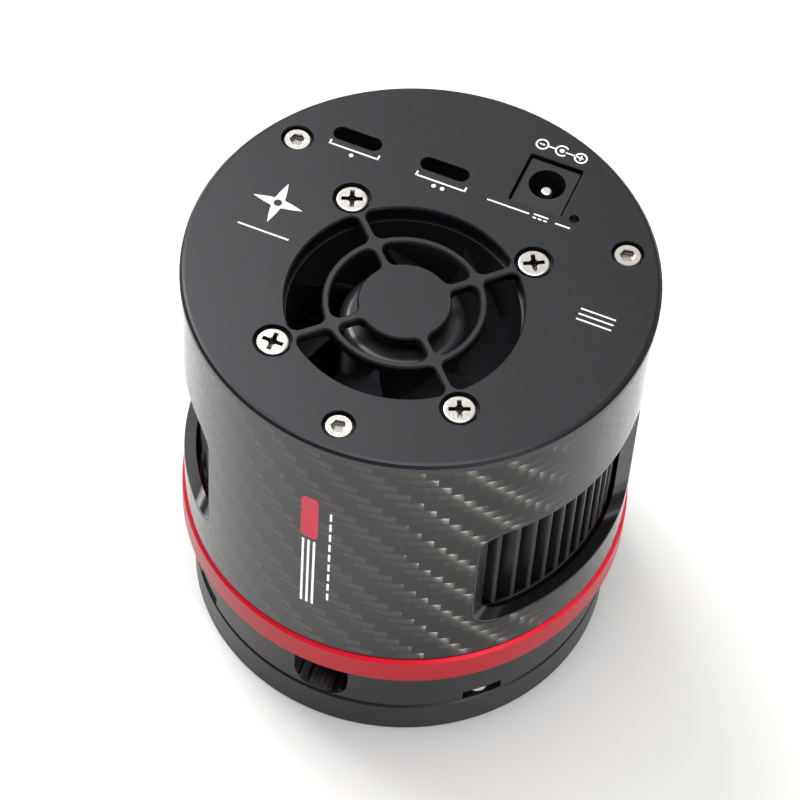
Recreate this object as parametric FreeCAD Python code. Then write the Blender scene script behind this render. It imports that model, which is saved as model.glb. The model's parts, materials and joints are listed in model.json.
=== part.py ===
"""Cooled astronomy camera, standing on its sensor side.

Frame: millimetres, +Z up towards the fan cover, origin at the centre of the front (telescope) face.
+X and +Y follow the square of the fan screws, and the connectors are on the +Y side of the cover.
The camera is a stack: tilt plate, front housing, red cooler housing, heat sink, carbon shell, cover.
"""
import FreeCAD, Part
import math
import os

Vector = FreeCAD.Vector

# Overall sizes
HEIGHT = 82.8
COVER_R = 39.0
SHELL_R = 38.5
SHELL_INNER_R = 37.0
RED_RING_R = 38.9
FRONT_R = 36.7
COLLAR_R = 35.6

# Heights of the main joints, from the front face up
TILT_PLATE_TOP = 7.1
TILT_GAP = 0.5
FRONT_LOW = TILT_PLATE_TOP + TILT_GAP
RED_LOW = 19.2
RED_RING_TOP = 25.2
GASKET = 0.6
GASKET_INSET = 0.5
SHELL_LOW = RED_RING_TOP + GASKET
RED_TOP = 31.6
SINK_BASE_TOP = 34.6
FIN_TOP = 64.0
COVER_EDGE = 1.9
SHELL_TOP = HEIGHT - COVER_EDGE
COVER_THICK = 3.2
COVER_LOW = HEIGHT - COVER_THICK
COVER_CHAMFER = 0.6

# Sensor chamber
CHAMBER_R = 30.5
CHAMBER_LOW = 12.2
SENSOR_PLANE = 17.5
SENSOR_SIDE = 11.3
PACKAGE_SIDE = 20.0
SENSOR_BOARD_LOW = 18.9
BOARD_THICK = 1.6
COLD_PLATE_LOW = 22.4
PELTIER_LOW = 25.0
PELTIER_HIGH = 28.6
PELTIER_SIDE = 30.0
CERAMIC = 0.7

# M42 x 0.75 telescope thread, drawn at its minor radius
M42_MINOR_R = 20.6

# Protective window
WINDOW_R = 17.4
WINDOW_LOW = 8.7
WINDOW_THICK = 1.9

# Side air outlets in the shell: azimuths of the right one, its mirror image is the left one
OUTLET_START = -52.0
OUTLET_END = 10.0
OUTLET_LOW = 34.0
OUTLET_HIGH = 60.5
OUTLET_CORNER = 4.5
FRAME_INNER_R = 36.5
FRAME_SILL = 0.35
FRAME_JAMB = 2.5
FRAME_LIP = 0.35

# Heat sink fins run along X
FIN_R = 35.7
FIN_PITCH = 2.65
FIN_THICK = 0.8
FIN_COUNT = 14

# 40 mm fan
FAN_Y = -7.1
FAN_SIDE = 40.0
FAN_DEPTH = 15.0
FAN_HOLE_HALF = 16.0
FAN_HOLE_R = 1.6
FAN_BORE_R = 19.0
FAN_TOP = COVER_LOW
FAN_LOW = FAN_TOP - FAN_DEPTH
ROTOR_R = 10.4
ROTOR_LOW = FAN_LOW + 2.3
ROTOR_TOP = FAN_TOP - 1.0
BLADE_COUNT = 7
BLADE_TIP_R = 18.3
BLADE_START = 14.5
BLADE_SWEEP = 17.5
BLADE_HUB_TURN = 44.0
BLADE_TAPER = 7.0
BLADE_MIDDLE = 15.0
BLADE_CAMBER = 1.1
BLADE_THICK = 0.75
SHAFT_R = 1.0

# Cover grille
GRILLE_R = 19.3
GRILLE_RING_OUT = 13.3
GRILLE_RING_IN = 12.1
GRILLE_HUB_R = 7.6
GRILLE_THICK = 1.8
SPOKE_WIDTH = 1.3

# Connectors, on the cover
USB_X = (-20.1, -4.5)
USB_Y = 20.9
USB_WIDTH = 8.94
USB_DEPTH = 3.26
USB_OPENING_INSET = 0.18
JACK_X = 11.9
JACK_Y = 24.85
JACK_WIDTH = 8.6
JACK_DEPTH = 9.9
JACK_GAP = 0.4
JACK_HOLE_Y = 25.5
JACK_HOLE_R = 3.1
LIGHT_X = 18.7
LIGHT_Y = 20.0

# Boards
IO_BOARD_LOW = 67.5
IO_BOARD_TOP = IO_BOARD_LOW + BOARD_THICK
MAIN_BOARD_Y = 16.0
MAIN_BOARD_HALF = 25.0
MAIN_BOARD_LOW = 36.5
MAIN_BOARD_TOP = 62.5

# Fasteners
COVER_SCREW_R = 33.8
COVER_SCREW_AZIMUTHS = (30.0, 150.0, 270.0)
SINK_SCREW_AZIMUTHS = (60.0, 120.0, 240.0, 300.0)
SINK_SCREW_R = 33.0
HOUSING_SCREW_AZIMUTHS = (22.5, 112.5, 202.5, 292.5)
HOUSING_SCREW_R = 33.8
PULL_SCREW_AZIMUTHS = (0.0, 90.0, 180.0, 270.0)
PULL_SCREW_R = 27.5
JACK_SCREW_AZIMUTHS = (45.0, 135.0, 225.0, 315.0)
JACK_SCREW_R = 34.0
JACK_POCKET_R = 3.9
JACK_POCKET_CENTRE = 35.0
JACK_POCKET_TOP = 9.9

# Finger notches in the front housing
NOTCH_AZIMUTHS = (90.0, 270.0)
NOTCH_WIDTH = 9.9
NOTCH_DEPTH = 4.2
NOTCH_TOP = 18.2
NOTCH_CORNER = 4.0
NOTCH_SLOPE = 22.0
NOTCH_RIBS = 5
NOTCH_RIB_PITCH = 1.8
NOTCH_RIB_WIDTH = 0.55
NOTCH_RIB_HEIGHT = 0.6

# Tilt plate, its screws and its soft seal
PULL_HEAD_R = 2.25
PULL_HEAD_H = 2.2
PULL_SEAT = 2.8
TILT_SLACK = 0.35
PULL_SHANK_R = 1.25
JACK_SHANK_R = 1.25
JACK_HEAD_R = 2.3
JACK_HEAD_LOW = 8.0
JACK_HEAD_HIGH = 9.5
JACK_PILOT_R = 1.0
JACK_PILOT_TOP = 12.0
SEAL_MID_R = 23.4
SEAL_HALF = 0.6
SEAL_LOW = TILT_PLATE_TOP + 0.25
SEAL_HIGH = SEAL_LOW + 1.2

# Window seat and the O-rings of the front housing
WINDOW_SEAT = WINDOW_LOW + WINDOW_THICK
WINDOW_RECESS_R = WINDOW_R + 0.1
WINDOW_APERTURE_R = 14.5
WINDOW_SEAL_R = 15.8
WINDOW_SEAL_SECTION = 0.45
HOUSING_SEAL_R = 31.5
HOUSING_SEAL_SECTION = 0.45

# Sensor package, its board's opening and its standoffs
PACKAGE_LOW = 16.9
GLASS_LOW = 16.2
FINGER_SIDE = 13.0
STANDOFF_R = 26.0
STANDOFF_AZIMUTHS = (45.0, 135.0, 225.0, 315.0)

# Heat sink's plug, the slot and the flat cable through it
PLUG_R = CHAMBER_R - 0.1
PLUG_LOW = 28.9
FLEX_SLOT = (-8.8, 8.8, 25.8, 27.4)
FLEX_THICK = 0.3
FLEX_HALF = 8.0
HEAT_SEAL_LOW = PLUG_LOW + 0.65
HEAT_SEAL_HIGH = PLUG_LOW + 2.05

# Recesses of the cover's fasteners
GRILLE_EDGE = 0.25
FAN_RECESS_R = 3.25
FAN_HEAD_LOW = HEIGHT - 1.85
SCREW_RECESS_R = 2.75
SCREW_SEAT = HEIGHT - 2.0

# Fan motor and lead
BEARING_R = 2.6
BEARING_TUBE_R = 3.4
FAN_BASE_TOP = FAN_LOW + 1.6
STATOR_LOW = FAN_LOW + 3.9
STATOR_HIGH = FAN_LOW + 8.9
MAGNET_OUT = ROTOR_R - 1.0
MAGNET_IN = MAGNET_OUT - 1.1
LEAD_R = 0.45
LEAD_Z = FAN_LOW + 1.0
LEAD_END_Y = 13.9
LEAD_BEND = 2.0

# Connector board's posts and ports
IO_POSTS = ((-12.5, 30.5), (22.5, 25.5))
PORT_TOP = COVER_LOW - 0.1
TONGUE_TOP = PORT_TOP - 0.6
JACK_TOP = HEIGHT - 0.7
JACK_PIN_TOP = HEIGHT - 2.2
JACK_PIN_R = 1.05
PORT_FLOOR = IO_BOARD_TOP + 2.5
JACK_FLOOR = IO_BOARD_TOP + 3.0

# M2.5 socket screws of the stack
STACK_HEAD_R = 2.2
STACK_HEAD_H = 2.2
STACK_SHANK_R = 1.25
STACK_SOCKET_R = 1.1
CLEAR_HOLE_R = 1.4
TAPPED_HOLE_R = 1.3
HOUSING_SCREW_SEAT = FRONT_LOW + 2.9
HOUSING_SCREW_LENGTH = 14.0
SINK_SCREW_LENGTH = 8.0

# Small clearances
SNUG = 0.05
FREE = 0.15
THROUGH = 1.0


def polar(radius, azimuth, z=0.0):
    """A point from its radius, azimuth in degrees and height."""
    angle = math.radians(azimuth)
    return Vector(radius * math.cos(angle), radius * math.sin(angle), z)


def cylinder(radius, low, high, x=0.0, y=0.0):
    """An upright cylinder between two heights."""
    return Part.makeCylinder(radius, high - low, Vector(x, y, low))


def cone(low_radius, high_radius, low, high, x=0.0, y=0.0):
    """An upright cone frustum between two heights."""
    return Part.makeCone(low_radius, high_radius, high - low, Vector(x, y, low))


def tube(outer, inner, low, high, x=0.0, y=0.0):
    """An upright tube between two heights."""
    return cylinder(outer, low, high, x, y).cut(cylinder(inner, low, high, x, y))


def block(x_low, x_high, y_low, y_high, z_low, z_high):
    """A box from its lowest and highest corners."""
    corner = Vector(x_low, y_low, z_low)
    return Part.makeBox(x_high - x_low, y_high - y_low, z_high - z_low, corner)


def centred(x, y, width, depth, low, high):
    """A box from its centre in plan, its plan size and its heights."""
    return block(x - width / 2, x + width / 2, y - depth / 2, y + depth / 2, low, high)


def is_vertical(edge):
    """True for a straight edge along Z."""
    if not isinstance(edge.Curve, Part.Line):
        return False
    return abs(abs(edge.Curve.Direction.z) - 1.0) < 1e-6


def rounded(x, y, width, depth, low, high, corner):
    """A centred box with its four upright edges rounded."""
    solid = centred(x, y, width, depth, low, high)
    upright = [edge for edge in solid.Edges if is_vertical(edge)]
    return solid.makeFillet(corner, upright)


def join(shapes):
    """One shape from several that touch or overlap."""
    first, *rest = shapes
    return first.fuse(rest).removeSplitter()


def cut_out(shape, tools):
    """The shape with each tool taken away."""
    for tool in tools:
        shape = shape.cut(tool)
    return shape


def group(shapes):
    """Separate solids that share one node."""
    return Part.makeCompound(shapes)


def turned(shape, azimuth):
    """A copy turned about the camera's axis."""
    copy = shape.copy()
    copy.rotate(Vector(0, 0, 0), Vector(0, 0, 1), azimuth)
    return copy


def extruded(points, low, high):
    """A prism from a closed outline of plan points."""
    wire = Part.makePolygon([Vector(x, y, low) for x, y in points + points[:1]])
    return Part.Face(wire).extrude(Vector(0, 0, high - low))


def sector(outer, inner, low, high, start, end):
    """A part of a tube between two azimuths."""
    corners = [(inner, low), (outer, low), (outer, high), (inner, high), (inner, low)]
    wire = Part.makePolygon([Vector(x, 0, z) for x, z in corners])
    swept = Part.Face(wire).revolve(Vector(0, 0, 0), Vector(0, 0, 1), end - start)
    return turned(swept, start)


def soften(solid, radius):
    """Rounds the four corners of a tube sector, along its level straight edges."""
    level = []
    for edge in solid.Edges:
        if isinstance(edge.Curve, Part.Line) and abs(edge.Curve.Direction.z) < 1e-6:
            level.append(edge)
    return solid.makeFillet(radius, level)


def round_edges(shape, height, radius, x=0.0, y=0.0):
    """The circular edges of one radius and height, about one axis."""
    found = []
    for edge in shape.Edges:
        curve = edge.Curve
        if not isinstance(curve, Part.Circle):
            continue
        if abs(curve.Radius - radius) > 1e-3 or abs(curve.Center.z - height) > 1e-3:
            continue
        if math.hypot(curve.Center.x - x, curve.Center.y - y) < 1e-3:
            found.append(edge)
    return found


def cap_screw(head_r, head_h, shank_r, length, socket_r):
    """A hex-socket screw, head up, with the seat of its head at the origin."""
    head = cylinder(head_r, 0, head_h)
    head = head.makeChamfer(0.25, round_edges(head, head_h, head_r))
    shank = cylinder(shank_r, -length, 0)
    corners = [polar(socket_r, 60.0 * i) for i in range(6)]
    socket = extruded([(p.x, p.y) for p in corners], head_h * 0.4, head_h + THROUGH)
    return join([head, shank]).cut(socket)


def stack_screw(length):
    """An M2.5 socket screw of the camera's stack."""
    return cap_screw(STACK_HEAD_R, STACK_HEAD_H, STACK_SHANK_R, length, STACK_SOCKET_R)


def cross_screw(head_r, head_h, shank_r, length):
    """A cross-recess screw, head up, with the seat of its head at the origin."""
    head = cylinder(head_r, 0, head_h)
    head = head.makeFillet(head_h * 0.26, round_edges(head, head_h, head_r))
    shank = cylinder(shank_r, -length, 0)
    arm = head_r * 1.3
    slot = head_r * 0.28
    low = -head_h * 0.3
    recess = join([
        centred(0, 0, arm, slot, low, head_h + THROUGH),
        centred(0, 0, slot, arm, low, head_h + THROUGH),
        cylinder(slot, low, head_h + THROUGH),
    ])
    return join([head, shank]).cut(recess)


def placed(shape, point, flip=False, spin=0.0):
    """A copy moved to a point, upside down if asked, and spun about its own axis."""
    copy = shape.copy()
    copy.rotate(Vector(0, 0, 0), Vector(0, 0, 1), spin)
    if flip:
        copy.rotate(Vector(0, 0, 0), Vector(1, 0, 0), 180)
    copy.translate(point)
    return copy


def holes(radius, low, high, circle, azimuths):
    """Upright hole tools on a circle."""
    tools = []
    for azimuth in azimuths:
        centre = polar(circle, azimuth)
        tools.append(cylinder(radius, low, high, centre.x, centre.y))
    return tools


# Tilt plate and its screws


def tilt_plate():
    """The front ring with the telescope thread."""
    plate = tube(FRONT_R, M42_MINOR_R, 0, TILT_PLATE_TOP)
    plate = plate.makeChamfer(0.35, round_edges(plate, TILT_PLATE_TOP, FRONT_R))
    plate = plate.makeChamfer(0.3, round_edges(plate, 0, FRONT_R))
    plate = plate.makeChamfer(0.4, round_edges(plate, 0, M42_MINOR_R))
    tools = holes(PULL_HEAD_R + FREE, -THROUGH, PULL_SEAT, PULL_SCREW_R, PULL_SCREW_AZIMUTHS)
    tools += holes(PULL_SHANK_R + FREE, 0, TILT_PLATE_TOP + THROUGH, PULL_SCREW_R, PULL_SCREW_AZIMUTHS)
    tools += holes(JACK_SHANK_R + SNUG, 2.0, TILT_PLATE_TOP + THROUGH, JACK_SCREW_R, JACK_SCREW_AZIMUTHS)
    return cut_out(plate, tools)


def tilt_seal_ring():
    """The soft light seal between the tilt plate and the front housing."""
    return tube(SEAL_MID_R + SEAL_HALF, SEAL_MID_R - SEAL_HALF, SEAL_LOW, SEAL_HIGH)


def tilt_pull_screws():
    """Socket screws that pull the tilt plate to the housing, heads in the front face."""
    screw = cap_screw(PULL_HEAD_R, PULL_HEAD_H, PULL_SHANK_R, 10.0, 1.1)
    seat = PULL_SEAT - TILT_SLACK
    return group([placed(screw, polar(PULL_SCREW_R, a, seat), flip=True) for a in PULL_SCREW_AZIMUTHS])


def tilt_jack_screws():
    """Collared screws that set the tilt gap, reached through the side slots."""
    screws = []
    for azimuth in JACK_SCREW_AZIMUTHS:
        centre = polar(JACK_SCREW_R, azimuth)
        shank = cylinder(JACK_SHANK_R, 2.3, JACK_HEAD_LOW, centre.x, centre.y)
        head = cylinder(JACK_HEAD_R, JACK_HEAD_LOW, JACK_HEAD_HIGH, centre.x, centre.y)
        pilot = cylinder(JACK_PILOT_R, JACK_HEAD_HIGH, JACK_PILOT_TOP, centre.x, centre.y)
        for edge_z in (JACK_HEAD_LOW, JACK_HEAD_HIGH):
            head = head.makeChamfer(0.2, round_edges(head, edge_z, JACK_HEAD_R, centre.x, centre.y))
        screws.append(join([shank, head, pilot]))
    return group(screws)


# Front housing and the window


def notch_shape(lift):
    """A finger notch on the +X side: U-shaped from outside, its floor rising inwards, lifted a little."""
    low = FRONT_LOW + 0.1 + lift
    half = NOTCH_WIDTH / 2
    solid = block(FRONT_R - 2 * NOTCH_DEPTH, FRONT_R + 2 * THROUGH, -half, half, low, NOTCH_TOP + 4)
    bottom = []
    for edge in solid.Edges:
        along_x = isinstance(edge.Curve, Part.Line) and abs(abs(edge.Curve.Direction.x) - 1) < 1e-6
        if along_x and edge.BoundBox.ZMax < low + 0.01:
            bottom.append(edge)
    solid = solid.makeFillet(NOTCH_CORNER, bottom)
    solid.rotate(Vector(FRONT_R, 0, low), Vector(0, 1, 0), NOTCH_SLOPE)
    side = half + THROUGH
    room = block(FRONT_R - NOTCH_DEPTH, FRONT_R + THROUGH, -side, side, FRONT_LOW, NOTCH_TOP)
    return solid.common(room)


def notch_ribs():
    """Grip ribs on the floor of a finger notch on the +X side."""
    floor_layer = notch_shape(0.0).cut(notch_shape(NOTCH_RIB_HEIGHT))
    ribs = []
    for index in range(NOTCH_RIBS):
        y = (index - (NOTCH_RIBS - 1) / 2) * NOTCH_RIB_PITCH
        half = NOTCH_RIB_WIDTH / 2
        slab = block(FRONT_R - NOTCH_DEPTH, FRONT_R - 0.4, y - half, y + half, FRONT_LOW, NOTCH_TOP - 3.0)
        ribs.append(floor_layer.common(slab))
    return ribs


def front_housing():
    """The black sensor housing, open towards the cooler."""
    body = cylinder(FRONT_R, FRONT_LOW, RED_LOW)
    body = body.makeChamfer(0.2, round_edges(body, FRONT_LOW, FRONT_R))
    body = body.cut(cylinder(CHAMBER_R, CHAMBER_LOW, RED_LOW))
    tools = [
        cylinder(WINDOW_RECESS_R, FRONT_LOW, WINDOW_SEAT),
        cylinder(WINDOW_APERTURE_R, FRONT_LOW, CHAMBER_LOW),
        tube(WINDOW_SEAL_R + 0.6, WINDOW_SEAL_R - 0.6, WINDOW_SEAT, WINDOW_SEAT + 0.95),
        tube(SEAL_MID_R + 0.9, SEAL_MID_R - 0.9, FRONT_LOW, SEAL_HIGH + 0.3),
        tube(HOUSING_SEAL_R + 0.55, HOUSING_SEAL_R - 0.55, RED_LOW - 1.0, RED_LOW),
    ]
    tools += holes(PULL_SHANK_R + FREE, FRONT_LOW, CHAMBER_LOW + 1.8, PULL_SCREW_R, PULL_SCREW_AZIMUTHS)
    tools += holes(JACK_PILOT_R + 0.3, FRONT_LOW, JACK_PILOT_TOP + 0.6, JACK_SCREW_R, JACK_SCREW_AZIMUTHS)
    tools += holes(JACK_POCKET_R, FRONT_LOW, JACK_POCKET_TOP, JACK_POCKET_CENTRE, JACK_SCREW_AZIMUTHS)
    tools += holes(CLEAR_HOLE_R, FRONT_LOW, RED_LOW, HOUSING_SCREW_R, HOUSING_SCREW_AZIMUTHS)
    head_r = STACK_HEAD_R + 0.2
    tools += holes(head_r, FRONT_LOW, HOUSING_SCREW_SEAT, HOUSING_SCREW_R, HOUSING_SCREW_AZIMUTHS)
    bosses = holes(2.6, CHAMBER_LOW, CHAMBER_LOW + 2.4, PULL_SCREW_R, PULL_SCREW_AZIMUTHS)
    body = cut_out(join([body] + bosses), tools)
    for azimuth in NOTCH_AZIMUTHS:
        body = body.cut(turned(notch_shape(0.0), azimuth))
        body = join([body] + [turned(rib, azimuth) for rib in notch_ribs()])
    return body


def window_glass():
    """The coated protective window in front of the sensor chamber."""
    disc = cylinder(WINDOW_R, WINDOW_LOW, WINDOW_SEAT)
    disc = disc.makeChamfer(0.2, round_edges(disc, WINDOW_LOW, WINDOW_R))
    return disc.makeChamfer(0.2, round_edges(disc, WINDOW_SEAT, WINDOW_R))


def window_retaining_ring():
    """The threaded ring that holds the window, with two spanner slots."""
    ring = tube(WINDOW_R, WINDOW_R - 2.1, FRONT_LOW + 0.1, WINDOW_LOW)
    slots = centred(0, 0, 2 * WINDOW_R + 1, 1.2, FRONT_LOW, FRONT_LOW + 0.6)
    return ring.cut(slots)


def window_seal():
    """The O-ring behind the window."""
    centre = Vector(0, 0, WINDOW_SEAT + WINDOW_SEAL_SECTION)
    return Part.makeTorus(WINDOW_SEAL_R, WINDOW_SEAL_SECTION - 0.01, centre)


def dew_heater():
    """The film heater round the window, inside the chamber."""
    ring = tube(20.0, WINDOW_APERTURE_R + 0.3, CHAMBER_LOW, CHAMBER_LOW + 0.3)
    tail = block(19.0, 24.0, -2.0, 2.0, CHAMBER_LOW, CHAMBER_LOW + 0.3)
    return join([ring, tail])


def housing_seal():
    """The O-ring between the front housing and the cooler housing."""
    centre = Vector(0, 0, RED_LOW - HOUSING_SEAL_SECTION - 0.02)
    return Part.makeTorus(HOUSING_SEAL_R, HOUSING_SEAL_SECTION, centre)


def housing_screws():
    """Socket screws that join the front housing to the cooler housing."""
    screw = stack_screw(HOUSING_SCREW_LENGTH)
    points = [polar(HOUSING_SCREW_R, azimuth, HOUSING_SCREW_SEAT) for azimuth in HOUSING_SCREW_AZIMUTHS]
    return group([placed(screw, point, flip=True) for point in points])


# Sensor and its board


def image_sensor():
    """The ceramic sensor package with the chip in its recess, facing down."""
    package = centred(0, 0, PACKAGE_SIDE, PACKAGE_SIDE, PACKAGE_LOW, SENSOR_BOARD_LOW)
    well = centred(0, 0, SENSOR_SIDE + 3, SENSOR_SIDE + 3, PACKAGE_LOW, PACKAGE_LOW + 1.0)
    chip = centred(0, 0, SENSOR_SIDE, SENSOR_SIDE, SENSOR_PLANE, PACKAGE_LOW + 1.0)
    return join([package.cut(well), chip])


def sensor_cover_glass():
    """The glass lid of the sensor package."""
    return centred(0, 0, PACKAGE_SIDE - 1.2, PACKAGE_SIDE - 1.2, GLASS_LOW, PACKAGE_LOW)


def sensor_board():
    """The round board that carries the sensor."""
    low = SENSOR_BOARD_LOW
    high = low + BOARD_THICK
    board = cylinder(28.8, low, high)
    opening = centred(0, 0, FINGER_SIDE + 1, FINGER_SIDE + 1, low, high)
    return cut_out(board, [opening] + holes(1.2, low, high, STANDOFF_R, STANDOFF_AZIMUTHS))


def sensor_standoffs():
    """Plastic standoffs that carry the sensor board and keep the cold in."""
    posts = holes(2.3, CHAMBER_LOW, SENSOR_BOARD_LOW, STANDOFF_R, STANDOFF_AZIMUTHS)
    pegs = holes(1.15, SENSOR_BOARD_LOW, SENSOR_BOARD_LOW + 2.2, STANDOFF_R, STANDOFF_AZIMUTHS)
    return group([join([post, peg]) for post, peg in zip(posts, pegs)])


def sensor_connector():
    """The flex connector on the back of the sensor board."""
    low = SENSOR_BOARD_LOW + BOARD_THICK
    return rounded(0, 22.0, 20.0, 3.2, low, low + 1.4, 0.3)


# Cooler: cold finger, Peltier, foam

def cold_finger():
    """The aluminium block from the sensor's back to the Peltier."""
    finger = rounded(0, 0, FINGER_SIDE, FINGER_SIDE, SENSOR_BOARD_LOW, COLD_PLATE_LOW, 1.0)
    plate = rounded(0, 0, PELTIER_SIDE, PELTIER_SIDE, COLD_PLATE_LOW, PELTIER_LOW, 1.5)
    return join([finger, plate])


def peltier_cold_plate():
    """The cold ceramic of the Peltier."""
    return centred(0, 0, PELTIER_SIDE, PELTIER_SIDE, PELTIER_LOW, PELTIER_LOW + CERAMIC)


def peltier_hot_plate():
    """The hot ceramic of the Peltier."""
    return centred(0, 0, PELTIER_SIDE, PELTIER_SIDE, PELTIER_HIGH - CERAMIC, PELTIER_HIGH)


def peltier_pellets():
    """The grid of semiconductor legs between the ceramics."""
    per_side = 8
    pitch = 3.5
    legs = []
    for column in range(per_side):
        for row in range(per_side):
            x = (column - (per_side - 1) / 2) * pitch
            y = (row - (per_side - 1) / 2) * pitch
            legs.append(centred(x, y, 1.6, 1.6, PELTIER_LOW + CERAMIC, PELTIER_HIGH - CERAMIC))
    return group(legs)


def insulation_foam():
    """The foam collar round the cold parts."""
    low = SENSOR_BOARD_LOW + BOARD_THICK + 2.4
    foam = cylinder(CHAMBER_R - 0.5, low, PELTIER_HIGH)
    opening = centred(0, 0, PELTIER_SIDE + 1, PELTIER_SIDE + 1, low, PELTIER_HIGH)
    lead_way = block(-11, 11, 24.5, 31, low, PELTIER_HIGH)
    dry_pocket = block(-11, 11, -30, -17.5, low, PELTIER_HIGH)
    return cut_out(foam, [opening, lead_way, dry_pocket])


def desiccant_pack():
    """The drying pack in the foam's pocket."""
    return rounded(0, -22.0, 20.0, 7.0, 23.2, 28.3, 1.5)


def cooler_housing():
    """The red ring and the collar that closes the chamber round the cooler."""
    flange = cylinder(RED_RING_R, RED_LOW, RED_RING_TOP)
    flange = flange.makeChamfer(0.55, round_edges(flange, RED_RING_TOP, RED_RING_R))
    flange = flange.makeChamfer(0.25, round_edges(flange, RED_LOW, RED_RING_R))
    collar = cylinder(COLLAR_R, RED_RING_TOP, RED_TOP)
    body = join([flange, collar])
    tools = [cylinder(CHAMBER_R, RED_LOW, RED_TOP)]
    tools += holes(TAPPED_HOLE_R, RED_LOW, RED_LOW + 6.5, HOUSING_SCREW_R, HOUSING_SCREW_AZIMUTHS)
    tools += holes(TAPPED_HOLE_R, RED_TOP - SINK_SCREW_LENGTH, RED_TOP, SINK_SCREW_R, SINK_SCREW_AZIMUTHS)
    return cut_out(body, tools)


# Heat sink


def heat_sink():
    """The finned heat sink, whose plug closes the chamber from behind."""
    base = cylinder(COLLAR_R, RED_TOP, SINK_BASE_TOP)
    plug = cylinder(PLUG_R, PLUG_LOW, RED_TOP)
    pedestal = rounded(0, 0, PELTIER_SIDE, PELTIER_SIDE, PELTIER_HIGH, PLUG_LOW, 1.5)
    fins = []
    for index in range(FIN_COUNT):
        y = FAN_Y + (index - (FIN_COUNT - 1) / 2) * FIN_PITCH
        reach = math.sqrt(FIN_R ** 2 - (abs(y) + FIN_THICK / 2) ** 2)
        fins.append(centred(0, y, 2 * reach, FIN_THICK, SINK_BASE_TOP - 0.5, FIN_TOP))
    body = join([base, plug, pedestal] + fins)
    tools = [tube(PLUG_R + 0.5, PLUG_R - 1.1, HEAT_SEAL_LOW, HEAT_SEAL_HIGH)]
    tools.append(block(*FLEX_SLOT, PLUG_LOW - THROUGH, SINK_BASE_TOP + THROUGH))
    low = RED_TOP - THROUGH
    high = SINK_BASE_TOP + THROUGH
    tools += holes(CLEAR_HOLE_R, low, high, SINK_SCREW_R, SINK_SCREW_AZIMUTHS)
    return cut_out(body, tools)


def heat_sink_seal():
    """The O-ring round the heat sink's plug."""
    centre = Vector(0, 0, (HEAT_SEAL_LOW + HEAT_SEAL_HIGH) / 2)
    return Part.makeTorus(PLUG_R - 0.5, 0.55, centre)


def heat_sink_screws():
    """Socket screws that hold the heat sink to the cooler housing."""
    screw = stack_screw(SINK_SCREW_LENGTH)
    points = [polar(SINK_SCREW_R, azimuth, SINK_BASE_TOP) for azimuth in SINK_SCREW_AZIMUTHS]
    return group([placed(screw, point) for point in points])


def cable_seal():
    """The potting round the flex where it leaves the chamber."""
    x_low, x_high, y_low, y_high = FLEX_SLOT
    potting = block(x_low + 0.1, x_high - 0.1, y_low + 0.1, y_high - 0.1, PLUG_LOW, SINK_BASE_TOP)
    return potting.cut(sensor_flex())


def sensor_flex():
    """The flat cable from the sensor board to the main board."""
    route = [(22.0, 22.05), (26.6, 22.05), (26.6, 43.0), (19.15, 43.0)]
    strips = []
    for (y_from, z_from), (y_to, z_to) in zip(route, route[1:]):
        half = FLEX_THICK / 2
        y_low = min(y_from, y_to) - half
        y_high = max(y_from, y_to) + half
        z_low = min(z_from, z_to) - half
        z_high = max(z_from, z_to) + half
        strips.append(block(-FLEX_HALF, FLEX_HALF, y_low, y_high, z_low, z_high))
    return join(strips)


# Shell and its air outlets

def outlet_tool(outer, inner, margin, corner):
    """The right air outlet as a radial tube sector, grown by a margin along the surface."""
    turn = math.degrees(margin / SHELL_R)
    solid = sector(
        SHELL_R + 2, SHELL_INNER_R - 2, OUTLET_LOW - margin, OUTLET_HIGH + margin,
        OUTLET_START - turn, OUTLET_END + turn,
    )
    return soften(solid, corner).common(tube(outer, inner, OUTLET_LOW - 5, OUTLET_HIGH + 5))


def funnel_tool():
    """The tapered air way through the right outlet frame, wide end outside."""
    depth = SHELL_R - FRAME_INNER_R
    slope = (FRAME_SILL - FRAME_LIP) / depth
    near = FRAME_INNER_R - 1.0
    far = SHELL_R + 1.0
    rise_near = FRAME_SILL + slope
    rise_far = FRAME_LIP - slope
    outline = [
        (near, OUTLET_LOW + rise_near), (far, OUTLET_LOW + rise_far),
        (far, OUTLET_HIGH - rise_far), (near, OUTLET_HIGH - rise_near),
    ]
    wire = Part.makePolygon([Vector(r, 0, z) for r, z in outline + outline[:1]])
    ring = Part.Face(wire).revolve(Vector(0, 0, 0), Vector(0, 0, 1), OUTLET_END - OUTLET_START + 10)
    ring = turned(ring, OUTLET_START - 5)
    sides = []
    for azimuth, inward in ((OUTLET_START, 1), (OUTLET_END, -1)):
        outside = polar(SHELL_R, azimuth + inward * math.degrees(FRAME_LIP / SHELL_R))
        inside = polar(FRAME_INNER_R, azimuth + inward * math.degrees(FRAME_JAMB / FRAME_INNER_R))
        run = inside - outside
        sides.append((outside - run, inside + run))
    middle = polar(2 * SHELL_R, (OUTLET_START + OUTLET_END) / 2)
    plan = [sides[0][1], sides[0][0], middle, sides[1][0], sides[1][1]]
    wedge = extruded([(p.x, p.y) for p in plan], OUTLET_LOW - 5, OUTLET_HIGH + 5)
    tool = ring.common(wedge)
    corners = []
    for edge in tool.Edges:
        box = edge.BoundBox
        thin = box.ZLength < 6 and math.hypot(box.XLength, box.YLength) < 9
        if thin and math.hypot(box.Center.x, box.Center.y) > FRAME_INNER_R - 1:
            corners.append(edge)
    return tool.makeFillet(3.6, corners)


def right_to_left(shape):
    """The mirror image across the YZ plane."""
    return shape.mirror(Vector(0, 0, 0), Vector(1, 0, 0))


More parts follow.
